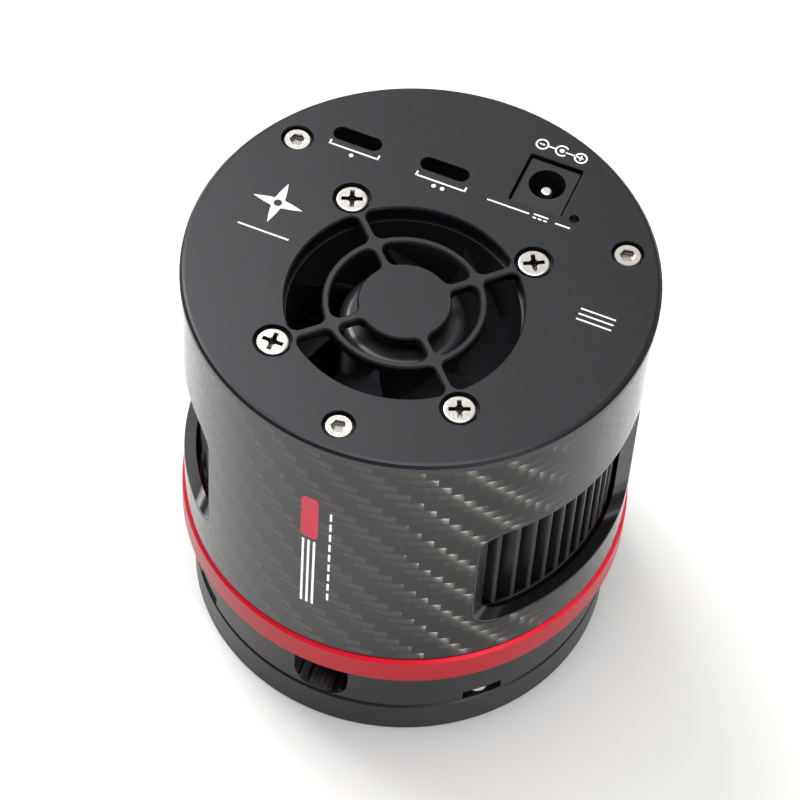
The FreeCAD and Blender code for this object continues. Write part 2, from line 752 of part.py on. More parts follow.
def carbon_shell():
    """The woven carbon tube with an air outlet on each side."""
    shell = tube(SHELL_R, SHELL_INNER_R, SHELL_LOW, SHELL_TOP)
    outlet = outlet_tool(SHELL_R + 2, SHELL_INNER_R - 2, 0.0, OUTLET_CORNER)
    return cut_out(shell, [outlet, right_to_left(outlet)])


def outlet_frame_right():
    """The black funnel frame in the right air outlet."""
    lip = outlet_tool(SHELL_R - 0.05, FRAME_INNER_R, -0.08, OUTLET_CORNER - 0.08)
    flange = outlet_tool(SHELL_INNER_R - 0.06, FRAME_INNER_R, 1.8, OUTLET_CORNER + 1.5)
    return join([lip, flange]).cut(funnel_tool())


def outlet_frame_left():
    """The black funnel frame in the left air outlet."""
    return right_to_left(outlet_frame_right())


def shell_gasket():
    """The thin gasket under the carbon shell."""
    return tube(SHELL_R - GASKET_INSET, COLLAR_R + 0.3, RED_RING_TOP, SHELL_LOW)


# Cover


def grille_opening(outer, inner, quarter):
    """One air opening between two spokes, with rounded corners."""
    ring = tube(outer, inner, COVER_LOW - THROUGH, HEIGHT + THROUGH)
    half = SPOKE_WIDTH / 2
    side = block(half, outer + 1, half, outer + 1, COVER_LOW - THROUGH, HEIGHT + THROUGH)
    opening = ring.common(side)
    upright = [edge for edge in opening.Edges if is_vertical(edge)]
    opening = opening.makeFillet(1.45, upright)
    opening.rotate(Vector(0, 0, 0), Vector(0, 0, 1), 45 + 90 * quarter)
    opening.translate(Vector(0, FAN_Y, 0))
    return opening


def usb_slot(x, grow, low, high):
    """A rounded slot at one USB-C port, grown by a margin beyond the receptacle's shell."""
    corner = (USB_DEPTH + 2 * grow) / 2 - 0.02
    return rounded(x, USB_Y, USB_WIDTH + 2 * grow, USB_DEPTH + 2 * grow, low, high, corner)


def fan_hole_points():
    """The four fan screw positions in plan."""
    h = FAN_HOLE_HALF
    return [(sx * h, FAN_Y + sy * h) for sx in (-1, 1) for sy in (-1, 1)]


def back_cover():
    """The round cover with the fan grille and the connector openings."""
    rim = cylinder(COVER_R, SHELL_TOP, HEIGHT)
    rim = rim.makeChamfer(COVER_CHAMFER, round_edges(rim, HEIGHT, COVER_R))
    rim = rim.makeChamfer(0.15, round_edges(rim, SHELL_TOP, COVER_R))
    spigot = cylinder(SHELL_INNER_R - 0.1, COVER_LOW, SHELL_TOP)
    cover = join([rim, spigot])
    cover = cover.cut(cylinder(GRILLE_R, COVER_LOW, HEIGHT - GRILLE_THICK, 0, FAN_Y))
    for quarter in range(4):
        cover = cover.cut(grille_opening(GRILLE_R, GRILLE_RING_OUT, quarter))
        cover = cover.cut(grille_opening(GRILLE_RING_IN, GRILLE_HUB_R, quarter))
    top_edges = []
    for edge in cover.Edges:
        box = edge.BoundBox
        on_top = box.ZMin > HEIGHT - 1e-3
        reach = math.hypot(box.Center.x, box.Center.y - FAN_Y)
        if on_top and reach < GRILLE_R + 0.2:
            top_edges.append(edge)
    cover = cover.makeChamfer(GRILLE_EDGE, top_edges)
    low = COVER_LOW - THROUGH
    high = HEIGHT + THROUGH
    tools = [usb_slot(x, -USB_OPENING_INSET, low, high) for x in USB_X]
    width = JACK_WIDTH + 2 * JACK_GAP
    depth = JACK_DEPTH + 2 * JACK_GAP
    tools.append(rounded(JACK_X, JACK_Y, width, depth, low, high, 0.4))
    tools.append(cylinder(0.85, low, high, LIGHT_X, LIGHT_Y))
    for x, y in fan_hole_points():
        tools.append(cylinder(FAN_HOLE_R, low, high, x, y))
        tools.append(cylinder(FAN_RECESS_R, FAN_HEAD_LOW, high, x, y))
    tools += holes(CLEAR_HOLE_R, low, high, COVER_SCREW_R, COVER_SCREW_AZIMUTHS)
    tools += holes(SCREW_RECESS_R, SCREW_SEAT, high, COVER_SCREW_R, COVER_SCREW_AZIMUTHS)
    return cut_out(cover, tools)


def cover_screws():
    """The three socket screws of the cover."""
    screw = cap_screw(2.35, 1.6, 1.2, 9.0, 1.35)
    points = [polar(COVER_SCREW_R, azimuth, SCREW_SEAT) for azimuth in COVER_SCREW_AZIMUTHS]
    return group([placed(screw, point, spin=12.0) for point in points])


def cover_posts():
    """Posts from the heat sink to the cover, one under each cover screw."""
    posts = []
    for azimuth in COVER_SCREW_AZIMUTHS:
        centre = polar(COVER_SCREW_R, azimuth)
        post = cylinder(2.4, SINK_BASE_TOP, COVER_LOW, centre.x, centre.y)
        posts.append(post.cut(cylinder(1.25, COVER_LOW - 9.0, COVER_LOW, centre.x, centre.y)))
    return group(posts)


# Fan


def fan_frame():
    """The square fan frame with its struts and motor base."""
    body = rounded(0, FAN_Y, FAN_SIDE, FAN_SIDE, FAN_LOW, FAN_TOP, 3.0)
    body = body.cut(cylinder(FAN_BORE_R, FAN_LOW, FAN_TOP, 0, FAN_Y))
    waist_low = FAN_LOW + 3.6
    waist_high = FAN_TOP - 3.6
    waist = centred(0, FAN_Y, FAN_SIDE + 1, FAN_SIDE + 1, waist_low, waist_high)
    body = body.cut(waist.cut(cylinder(20.4, waist_low, waist_high, 0, FAN_Y)))
    extra = [cylinder(ROTOR_R, FAN_LOW, FAN_BASE_TOP, 0, FAN_Y)]
    extra.append(tube(BEARING_TUBE_R, BEARING_R, FAN_LOW, FAN_LOW + 10.2, 0, FAN_Y))
    for azimuth in (20, 110, 200, 290):
        strut = block(ROTOR_R - 1, FAN_BORE_R + 0.4, -0.9, 0.9, FAN_LOW, FAN_BASE_TOP)
        strut = turned(strut, azimuth)
        strut.translate(Vector(0, FAN_Y, 0))
        extra.append(strut)
    body = join([body] + extra)
    tools = [cylinder(BEARING_R, FAN_LOW + 0.6, FAN_TOP, 0, FAN_Y)]
    tools.append(block(-1.9, 1.9, FAN_Y + 17, FAN_Y + 21, FAN_LOW, FAN_LOW + 1.9))
    for x, y in fan_hole_points():
        tools.append(cylinder(FAN_HOLE_R, FAN_LOW, FAN_TOP, x, y))
    return cut_out(body, tools)


def fan_bearing():
    """The bronze sleeve bearing."""
    return tube(BEARING_R, SHAFT_R + 0.03, FAN_LOW + 0.9, FAN_LOW + 10.0, 0, FAN_Y)


def fan_shaft():
    """The steel shaft of the rotor."""
    return cylinder(SHAFT_R, FAN_LOW + 1.0, ROTOR_TOP - 1.0, 0, FAN_Y)


def fan_magnet():
    """The ring magnet inside the rotor cup."""
    return tube(MAGNET_OUT, MAGNET_IN, FAN_LOW + 3.2, FAN_LOW + 10.4, 0, FAN_Y)


def fan_circuit_board():
    """The driver board of the fan motor."""
    return tube(8.6, BEARING_TUBE_R + SNUG, FAN_BASE_TOP, FAN_BASE_TOP + 0.8, 0, FAN_Y)


def fan_stator():
    """The four-pole iron core of the fan motor."""
    pieces = [tube(4.6, BEARING_TUBE_R + SNUG, STATOR_LOW, STATOR_HIGH)]
    for azimuth in (0, 90, 180, 270):
        pieces.append(turned(block(4.4, 7.2, -1.0, 1.0, STATOR_LOW, STATOR_HIGH), azimuth))
        pieces.append(sector(7.9, 7.1, STATOR_LOW, STATOR_HIGH, azimuth - 32, azimuth + 32))
    core = join(pieces)
    core.translate(Vector(0, FAN_Y, 0))
    return core


def fan_windings():
    """The four copper coils on the stator's poles."""
    coils = []
    for azimuth in (0, 90, 180, 270):
        coil = block(4.75, 6.6, -2.2, 2.2, STATOR_LOW - 0.8, STATOR_HIGH + 0.8)
        tooth = block(4.0, 7.9, -1.05, 1.05, STATOR_LOW - 0.05, STATOR_HIGH + 0.05)
        coil = turned(coil.cut(tooth), azimuth)
        coil.translate(Vector(0, FAN_Y, 0))
        coils.append(coil)
    return group(coils)


def blade_section(reach):
    """A closed, cambered blade outline in the plane x = reach, about the fan axis."""
    share = (reach - ROTOR_R) / (BLADE_TIP_R - ROTOR_R)
    top_azimuth = BLADE_SWEEP * share
    chord_turn = BLADE_HUB_TURN - BLADE_TAPER * share
    top = ROTOR_TOP - 0.7
    low = ROTOR_LOW + 1.0

    def surface(fraction, offset):
        azimuth = BLADE_MIDDLE + top_azimuth - chord_turn * fraction
        bow = math.sin(math.pi * fraction) * BLADE_CAMBER
        z = top - (top - low) * fraction - bow + offset
        return Vector(reach, reach * math.tan(math.radians(azimuth)), z)

    half = BLADE_THICK / 2
    upper = [surface(fraction, half) for fraction in (0.0, 0.5, 1.0)]
    lower = [surface(fraction, -half) for fraction in (1.0, 0.5, 0.0)]
    edges = [
        Part.Arc(*upper).toShape(),
        Part.LineSegment(upper[2], lower[0]).toShape(),
        Part.Arc(*lower).toShape(),
        Part.LineSegment(lower[2], upper[0]).toShape(),
    ]
    return Part.Wire(edges)


def fan_blade():
    """One blade, from inside the cup's wall to the tip."""
    reaches = (ROTOR_R - 2.4, 11.0, 14.8, BLADE_TIP_R + 0.3)
    blade = Part.makeLoft([blade_section(reach) for reach in reaches], True)
    swept_ring = tube(BLADE_TIP_R, MAGNET_OUT + 0.3, FAN_LOW, FAN_TOP)
    return turned(blade.common(swept_ring), -BLADE_MIDDLE)


def fan_rotor():
    """The rotor cup with its seven swept blades."""
    cup = cylinder(ROTOR_R, ROTOR_LOW, ROTOR_TOP)
    cup = cup.makeFillet(1.8, round_edges(cup, ROTOR_TOP, ROTOR_R))
    cup = cup.cut(cylinder(MAGNET_OUT, ROTOR_LOW, ROTOR_TOP - 1.9))
    boss = cylinder(2.4, ROTOR_TOP - 3.0, ROTOR_TOP - 1.5)
    blade = fan_blade()
    blades = [turned(blade, BLADE_START + 360.0 / BLADE_COUNT * i) for i in range(BLADE_COUNT)]
    body = join([cup, boss] + blades)
    body = body.cut(cylinder(SHAFT_R, ROTOR_LOW, ROTOR_TOP - 1.0))
    body.translate(Vector(0, FAN_Y, 0))
    return body


def fan_screws():
    """The four cross-head screws of the fan."""
    screw = cross_screw(2.72, 1.7, 1.45, 9.0)
    spins = (0.0, 21.0, 24.0, 29.0)
    points = fan_hole_points()
    return group([
        placed(screw, Vector(x, y, FAN_HEAD_LOW), spin=spin) for (x, y), spin in zip(points, spins)
    ])


def fan_lead():
    """The three wires from the fan motor to the main board, along one strutless side."""
    wires = []
    for x in (-1.1, 0.0, 1.1):
        start = Vector(x, FAN_Y + ROTOR_R + 0.1, LEAD_Z)
        turn_from = Vector(x, LEAD_END_Y - LEAD_BEND, LEAD_Z)
        half = LEAD_BEND * math.sqrt(0.5)
        middle = Vector(x, LEAD_END_Y - LEAD_BEND + half, LEAD_Z - LEAD_BEND + half)
        turn_to = Vector(x, LEAD_END_Y, LEAD_Z - LEAD_BEND)
        end = Vector(x, LEAD_END_Y, MAIN_BOARD_TOP - 2.0)
        path = Part.Wire([
            Part.LineSegment(start, turn_from).toShape(),
            Part.Arc(turn_from, middle, turn_to).toShape(),
            Part.LineSegment(turn_to, end).toShape(),
        ])
        section = Part.Wire(Part.makeCircle(LEAD_R, start, Vector(0, 1, 0)))
        wires.append(path.makePipeShell([section], True, False))
    return group(wires)


def fan_connector():
    """The plug of the fan lead, on the main board."""
    return block(-2.4, 2.4, 12.6, MAIN_BOARD_Y, MAIN_BOARD_TOP - 6.0, MAIN_BOARD_TOP - 2.0)


# Boards and connectors

def main_board():
    """The upright processing board behind the heat sink."""
    half = MAIN_BOARD_HALF
    return block(-half, half, MAIN_BOARD_Y, MAIN_BOARD_Y + BOARD_THICK, MAIN_BOARD_LOW, MAIN_BOARD_TOP)


def board_chips():
    """The main chips on the processing board."""
    face = MAIN_BOARD_Y + BOARD_THICK
    sizes = [
        (-12.0, 51.0, 14.0, 1.3),
        (4.0, 53.0, 9.0, 1.1),
        (4.0, 42.5, 8.0, 1.1),
        (17.0, 50.0, 10.0, 1.3),
    ]
    chips = []
    for x, z, side, height in sizes:
        chips.append(block(x - side / 2, x + side / 2, face, face + height, z - side / 2, z + side / 2))
    return group(chips)


def flex_connector():
    """The flex connector on the processing board."""
    face = MAIN_BOARD_Y + BOARD_THICK
    return block(-10.0, 10.0, face, face + 1.4, 42.0, 44.5).cut(board_chips())


def board_brackets():
    """The two angle brackets that stand the processing board on the heat sink."""
    brackets = []
    for side in (-1, 1):
        x = side * 20.0
        foot = block(x - 3, x + 3, MAIN_BOARD_Y - 4.5, MAIN_BOARD_Y, SINK_BASE_TOP, SINK_BASE_TOP + 1.0)
        leaf = block(x - 3, x + 3, MAIN_BOARD_Y - 1.0, MAIN_BOARD_Y, SINK_BASE_TOP, SINK_BASE_TOP + 7.0)
        brackets.append(join([foot, leaf]))
    return group(brackets)


def board_header():
    """The stacking connector between the two boards."""
    face = MAIN_BOARD_Y + BOARD_THICK
    return block(-12.0, 0.0, face, face + 3.0, MAIN_BOARD_TOP - 3.0, IO_BOARD_LOW)


def io_board():
    """The level board under the connectors."""
    disc = cylinder(36.4, IO_BOARD_LOW, IO_BOARD_TOP)
    keep = join([
        block(-25, 25, 14.4, 40, IO_BOARD_LOW, IO_BOARD_TOP),
        block(-40, 40, 20.5, 40, IO_BOARD_LOW, IO_BOARD_TOP),
    ])
    tools = holes(2.9, IO_BOARD_LOW, IO_BOARD_TOP, COVER_SCREW_R, COVER_SCREW_AZIMUTHS)
    tools += [cylinder(1.1, IO_BOARD_LOW, IO_BOARD_TOP, x, y) for x, y in IO_POSTS]
    return cut_out(disc.common(keep), tools)


def io_posts():
    """The posts that hang the connector board under the cover."""
    return group([cylinder(2.2, IO_BOARD_TOP, COVER_LOW, x, y) for x, y in IO_POSTS])


def io_screws():
    """The screws of the connector board, from below."""
    screw = cross_screw(1.9, 1.2, 1.0, 1.55)
    return group([placed(screw, Vector(x, y, IO_BOARD_LOW), flip=True) for x, y in IO_POSTS])


def usb_port(x):
    """A USB-C receptacle's metal shell, mouth up."""
    wall = 0.32
    outside = usb_slot(x, 0.0, IO_BOARD_TOP, PORT_TOP)
    inside = usb_slot(x, -wall, PORT_FLOOR, PORT_TOP + THROUGH)
    return outside.cut(inside)


def usb_port_left():
    """The receptacle nearer the cover's edge."""
    return usb_port(USB_X[0])


def usb_port_right():
    """The receptacle nearer the power jack."""
    return usb_port(USB_X[1])


def usb_tongues():
    """The contact tongues in the two receptacles."""
    return group([centred(x, USB_Y, 6.6, 0.7, PORT_FLOOR, TONGUE_TOP) for x in USB_X])


def dc_jack():
    """The power jack's black body."""
    body = centred(JACK_X, JACK_Y, JACK_WIDTH, JACK_DEPTH, IO_BOARD_TOP, JACK_TOP)
    return body.cut(cylinder(JACK_HOLE_R, JACK_FLOOR, HEIGHT, JACK_X, JACK_HOLE_Y))


def dc_jack_pin():
    """The power jack's centre pin."""
    pin = cylinder(JACK_PIN_R, JACK_FLOOR, JACK_PIN_TOP, JACK_X, JACK_HOLE_Y)
    return pin.makeFillet(0.5, round_edges(pin, JACK_PIN_TOP, JACK_PIN_R, JACK_X, JACK_HOLE_Y))


def status_light():
    """The light pipe of the status lamp."""
    return cylinder(0.75, IO_BOARD_TOP, COVER_LOW + 0.5, LIGHT_X, LIGHT_Y)


NODES = [
    tilt_plate, tilt_seal_ring, tilt_pull_screws, tilt_jack_screws,
    front_housing, window_glass, window_retaining_ring, window_seal, dew_heater,
    housing_seal, housing_screws,
    image_sensor, sensor_cover_glass, sensor_board, sensor_standoffs, sensor_connector,
    cold_finger, peltier_cold_plate, peltier_hot_plate, peltier_pellets,
    insulation_foam, desiccant_pack, cooler_housing,
    heat_sink, heat_sink_seal, heat_sink_screws, cable_seal, sensor_flex,
    carbon_shell, outlet_frame_right, outlet_frame_left, shell_gasket,
    back_cover, cover_screws, cover_posts,
    fan_frame, fan_bearing, fan_shaft, fan_magnet, fan_circuit_board, fan_stator,
    fan_windings, fan_rotor, fan_screws, fan_lead, fan_connector,
    main_board, board_chips, flex_connector, board_brackets, board_header,
    io_board, io_posts, io_screws, usb_port_left, usb_port_right, usb_tongues,
    dc_jack, dc_jack_pin, status_light,
]


def main():
    """Writes one STEP file per node."""
    os.makedirs("parts", exist_ok=True)
    for make in NODES:
        shape = make()
        shape.exportStep("parts/" + make.__name__ + ".step")
        state = "ok" if shape.isValid() and shape.Volume > 0 else "CHECK"
        print(make.__name__, len(shape.Solids), round(shape.Volume, 2), state)


main()
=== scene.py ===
"""The looks of a cooled astronomy camera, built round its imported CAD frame. Units are metres."""

import json
import math
import bpy
import bmesh
from mathutils import Matrix, Vector

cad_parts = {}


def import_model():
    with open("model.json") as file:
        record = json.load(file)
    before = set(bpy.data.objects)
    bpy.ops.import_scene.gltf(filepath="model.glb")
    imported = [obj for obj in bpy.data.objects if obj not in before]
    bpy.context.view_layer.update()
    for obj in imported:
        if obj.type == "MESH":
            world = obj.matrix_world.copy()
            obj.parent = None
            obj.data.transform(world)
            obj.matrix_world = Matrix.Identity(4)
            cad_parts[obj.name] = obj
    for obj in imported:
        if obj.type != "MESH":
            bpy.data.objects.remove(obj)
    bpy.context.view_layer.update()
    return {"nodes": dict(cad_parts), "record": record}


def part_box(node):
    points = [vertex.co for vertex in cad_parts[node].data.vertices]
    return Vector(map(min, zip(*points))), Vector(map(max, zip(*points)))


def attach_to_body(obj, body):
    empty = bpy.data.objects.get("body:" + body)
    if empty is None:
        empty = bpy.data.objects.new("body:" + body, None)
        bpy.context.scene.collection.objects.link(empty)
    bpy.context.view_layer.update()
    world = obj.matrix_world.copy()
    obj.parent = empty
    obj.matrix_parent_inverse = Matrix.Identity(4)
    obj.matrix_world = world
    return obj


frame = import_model()
nodes = frame["nodes"]

MM = 0.001

# Camera, from the photograph's viewing angle
CAMERA_AIM = Vector((-1.8, -0.65, 46.6)) * MM
CAMERA_DISTANCE = 591.2 * MM
CAMERA_AZIMUTH = -70.74
CAMERA_ELEVATION = 53.99
CAMERA_ROLL = 4.25
CAMERA_LENS = 156.9
FILM_WIDTH = 36.0

# Faces and edges of the CAD parts
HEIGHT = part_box("back_cover")[1][2]
SHELL_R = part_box("carbon_shell")[1][0]
RED_BEVEL_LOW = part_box("cooler_housing")[0][2] + 5.45 * MM
FIN_REACH = 35.7 * MM
SENSOR_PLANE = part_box("image_sensor")[0][2] + 0.6 * MM

# Carbon weave: a 2/2 twill of tows along the axis and round it
TOW = 2.12 * MM
TOWS_PER_REPEAT = 4
TOW_WANDER = 0.2  # in tows
FLOAT_SKEW = 0.22
EVEN_TOWS = 200.0  # a whole number of repeats, which keeps the tows' count above zero
THREADS_ACROSS_TOW = 26.0
THREADS_ALONG_TOW = 0.8

# Relief of the weave: its depth and the shares of a float's arch, its round section and its threads
FLOAT_DEPTH = 0.36 * MM
FLOAT_ROUNDNESS = 2.5
ARCH_SHARE = 0.8
SECTION_SHARE = 0.6
THREAD_SHARE = 0.06

# Screw heads
PLATING = (0.86, 0.83, 0.78)
FAN_HEAD_R = 2.72 * MM
FAN_RECESS_REACH = 2.0 * MM
FAN_RECESS_DEPTH = 2.2 * MM
COVER_SCREW_R = 33.8 * MM
COVER_SCREW_AZIMUTHS = (30, 150, 270)
SOCKET_REACH = 1.5 * MM
SOCKET_DEPTH = 0.96 * MM
# Painted shade in the screws' tool recesses: its colour, the depths where it fades in, and the share of it
# left at a recess's floor
RECESS_SHADE_COLOUR = (0.045, 0.032, 0.020)
RECESS_SHADE_FADE = (0.45 * MM, 0.12 * MM)  # depths between which painted shade fades in down a recess
RECESS_FLOOR = 0.3 * MM
RECESS_FLOOR_SHADE_SHARE = 0.35

# Prints: their thickness, then places and sizes in millimetres
MARK_SINK = 0.02 * MM
MARK_PROUD = 0.006 * MM
SHELL_LIFT = 3.0  # how many times thicker the prints are on the round shell
LINE = 0.30
FINE_LINE = 0.28
FINEST_LINE = 0.26
BOLD_LINE = 0.32
STAR_POINTS = 32
STAR_SHARPNESS = 0.6
MINUS_SIGN = (8.2, 32.7)
CENTRE_SIGN = (11.7, 32.7)
PLUS_SIGN = (15.1, 32.5)
PORT_MARK_LEFT = (-19.7, 18.2)
PORT_MARK_RIGHT = (-4.1, 17.9)
PORT_MARK_WIDTH = 8.6
SUPPLY_SIGN_U = 13.6
STAR_PLACE = (-26.6, 2.9)
EDGE_BARS_U = 29.3
RED_TAG_AZIMUTH = -93.6
RED_TAG_HEIGHT = 61.6
STRIPE_HEIGHT = 46.0
DASHES = 9
DASH_PITCH = 2.9

# Contacts, bond pads and the sensor's pixel area
BLOCK_EDGE = 0.02 * MM
CONTACTS = 12
CONTACT_PITCH = 0.5 * MM
CONTACT_HALF_WIDTH = 0.13 * MM
CONTACT_ENDS = (3.6 * MM, 0.5 * MM)  # below the tongues' tips
PIXEL_AREA_HALF = 5.65 * MM
PIXEL_AREA_EDGE = 0.008 * MM
BOND_PADS = 26
BOND_PAD_PITCH = 0.42 * MM
BOND_PAD_ROW = 6.15 * MM

# Telescope thread, in millimetres
mounts = {mount["name"]: mount for mount in frame["record"]["mounts"]}
BORE_R = mounts["telescope_thread"]["dims"]["r_mm"]
THREAD_PITCH = 0.75
THREAD_START = 0.5
THREAD_LENGTH = 5.6
THREAD_CREST = 0.10
THREAD_STEPS = 96

# Studio
FLOOR_HALF = 6.0
FLOOR_GAP = 0.05 * MM
LAMP_AIM = Vector((0, 0, 40)) * MM
ROOM_COLOUR = (1.0, 0.99, 0.975)


def direction(azimuth, elevation):
    """A unit vector from angles in degrees."""
    a = math.radians(azimuth)
    e = math.radians(elevation)
    return Vector((math.cos(e) * math.cos(a), math.cos(e) * math.sin(a), math.sin(e)))


class Shader:
    """One procedural material and short ways to add nodes to it."""

    def __init__(self, name):
        self.material = bpy.data.materials.new(name)
        self.material.use_nodes = True
        self.tree = self.material.node_tree
        self.tree.nodes.clear()
        self.output = self.tree.nodes.new("ShaderNodeOutputMaterial")
        self.surface = self.tree.nodes.new("ShaderNodeBsdfPrincipled")
        self.tree.links.new(self.surface.outputs[0], self.output.inputs[0])
        self.where = self.tree.nodes.new("ShaderNodeTexCoord").outputs["Object"]

    def feed(self, socket, value):
        """Sets a socket from a number, a colour or another node's output."""
        if isinstance(value, bpy.types.NodeSocket):
            self.tree.links.new(value, socket)
        elif isinstance(value, (tuple, list)) and socket.type == "RGBA" and len(value) == 3:
            socket.default_value = (*value, 1.0)
        else:
            socket.default_value = value

    def set(self, **values):
        """Sets inputs of the main shader by name, with _ for a space."""
        for name, value in values.items():
            self.feed(self.surface.inputs[name.replace("_", " ")], value)

    def math(self, operation, *values):
        node = self.tree.nodes.new("ShaderNodeMath")
        node.operation = operation
        for socket, value in zip(node.inputs, values):
            self.feed(socket, value)
        return node.outputs[0]

    def distance(self, x, y):
        """The length of a level vector."""
        squares = self.math("MULTIPLY", x, x), self.math("MULTIPLY", y, y)
        return self.math("SQRT", self.math("ADD", *squares))

    def vector_math(self, operation, *values):
        node = self.tree.nodes.new("ShaderNodeVectorMath")
        node.operation = operation
        for socket, value in zip(node.inputs, values):
            self.feed(socket, value)
        return node.outputs["Value" if operation in ("LENGTH", "DOT_PRODUCT") else "Vector"]

    def split(self, vector):
        node = self.tree.nodes.new("ShaderNodeSeparateXYZ")
        self.feed(node.inputs[0], vector)
        return node.outputs[0], node.outputs[1], node.outputs[2]

    def combine(self, x, y, z):
        node = self.tree.nodes.new("ShaderNodeCombineXYZ")
        for socket, value in zip(node.inputs, (x, y, z)):
            self.feed(socket, value)
        return node.outputs[0]

    def noise(self, scale, detail=3.0, roughness=0.55, vector=None):
        node = self.tree.nodes.new("ShaderNodeTexNoise")
        self.feed(node.inputs["Vector"], vector or self.where)
        node.inputs["Scale"].default_value = scale
        node.inputs["Detail"].default_value = detail
        node.inputs["Roughness"].default_value = roughness
        return node.outputs[0]

    def ramp(self, value, low, high, to_low=0.0, to_high=1.0):
        node = self.tree.nodes.new("ShaderNodeMapRange")
        for socket, number in zip(node.inputs, (value, low, high, to_low, to_high)):
            self.feed(socket, number)
        return node.outputs[0]

    def mix(self, factor, first, second):
        node = self.tree.nodes.new("ShaderNodeMix")
        node.data_type = "RGBA"
        self.feed(node.inputs[0], factor)
        self.feed(node.inputs[6], first)
        self.feed(node.inputs[7], second)
        return node.outputs[2]

    def bump(self, height, depth):
        node = self.tree.nodes.new("ShaderNodeBump")
        node.inputs["Strength"].default_value = 1.0
        node.inputs["Distance"].default_value = depth
        self.feed(node.inputs["Height"], height)
        return node.outputs[0]


def shade(color, factor):
    """A colour made lighter or darker."""
    return tuple(min(1.0, channel * factor) for channel in color)


def finish(name, color, metallic, roughness, grain=1800, depth=0.004, mottle=0.12, **extra):
    """A moulded, blasted or machined surface: mottled colour, uneven gloss, fine grain."""
    s = Shader(name)
    blotch = s.noise(90, 4.0)
    fine = s.noise(grain, 2.0)
    s.set(Base_Color=s.mix(blotch, shade(color, 1 - mottle), shade(color, 1 + mottle)))
    s.set(Metallic=metallic)
    s.set(Roughness=s.ramp(fine, 0.3, 0.7, roughness * 0.9, roughness * 1.12))
    s.set(Normal=s.bump(fine, depth * MM))
    s.set(**extra)
    return s


def screw_finish(name, color, centres, head_top, recess_reach, recess_depth):
    """Bright plated screw heads whose tool recesses are darkened with painted shade."""
    s = Shader(name)
    x, y, z = s.split(s.where)
    nearest = None
    for centre_x, centre_y in centres:
        dx = s.math("SUBTRACT", x, centre_x)
        dy = s.math("SUBTRACT", y, centre_y)
        reach = s.distance(dx, dy)
        nearest = reach if nearest is None else s.math("MINIMUM", nearest, reach)
    within = s.math("LESS_THAN", nearest, recess_reach)
    deep, shallow = (head_top - depth for depth in RECESS_SHADE_FADE)
    below = s.ramp(z, deep, shallow, 1.0, 0.0)
    floor_z = head_top - recess_depth
    above_floor = s.ramp(z, floor_z, floor_z + RECESS_FLOOR, RECESS_FLOOR_SHADE_SHARE, 1.0)
    # Painted shade: dark in each recess below the head's top, easing off near the recess floor.
    painted_shade = s.math("MULTIPLY", s.math("MULTIPLY", within, below), above_floor)
    fine = s.noise(1600, 2.0)
    plated = s.mix(s.noise(300, 3.0), shade(color, 0.94), shade(color, 1.05))
    s.set(Base_Color=s.mix(painted_shade, plated, RECESS_SHADE_COLOUR), Metallic=1.0)
    s.set(Roughness=s.ramp(fine, 0.3, 0.7, 0.19, 0.26), Normal=s.bump(fine, 0.002 * MM))
    return s


def red_ring_finish(name, bevel_low):
    """Red anodising, satin on the ring's side, with a painted highlight making its bevel and collar a
    brighter red.
    """
    s = Shader(name)
    z = s.split(s.where)[2]
    # Painted highlight: above the bevel's foot the red is brighter and less metallic, standing in for light
    # on the upward-facing bevel and collar.
    painted_bevel_highlight = s.ramp(z, bevel_low - 0.02 * MM, bevel_low + 0.02 * MM)
    blotch = s.noise(90, 4.0)
    fine = s.noise(2400, 2.0)
    side = s.mix(blotch, (0.30, 0.006, 0.012), (0.34, 0.008, 0.015))
    bevel = s.mix(blotch, (0.56, 0.005, 0.020), (0.61, 0.007, 0.024))
    s.set(Base_Color=s.mix(painted_bevel_highlight, side, bevel), Metallic=s.ramp(painted_bevel_highlight, 0.0, 1.0, 0.5, 0.1))
    s.set(Roughness=s.ramp(fine, 0.3, 0.7, 0.29, 0.36), Normal=s.bump(fine, 0.004 * MM))
    s.set(Specular_IOR_Level=0.27)
    return s


def fin_finish(name, tip_reach):
    """Black anodised fins whose lathe-cut ends carry a painted highlight, a little lighter than the rest.
    """
    s = Shader(name)
    x, y = s.split(s.where)[:2]
    reach = s.distance(x, y)
    # Painted highlight on the fins' outer ends, standing in for the light their edges catch.
    painted_tip_highlight = s.ramp(reach, tip_reach - 0.50 * MM, tip_reach - 0.20 * MM)
    fine = s.noise(900, 2.0)
    black = s.mix(s.noise(90, 4.0), (0.0030, 0.0030, 0.0034), (0.0040, 0.0040, 0.0045))
    s.set(Base_Color=s.mix(painted_tip_highlight, black, (0.034, 0.034, 0.035)))
    s.set(Roughness=s.ramp(fine, 0.3, 0.7, 0.31, 0.38), Normal=s.bump(fine, 0.0006 * MM))
    s.set(Specular_IOR_Level=0.22)
    return s


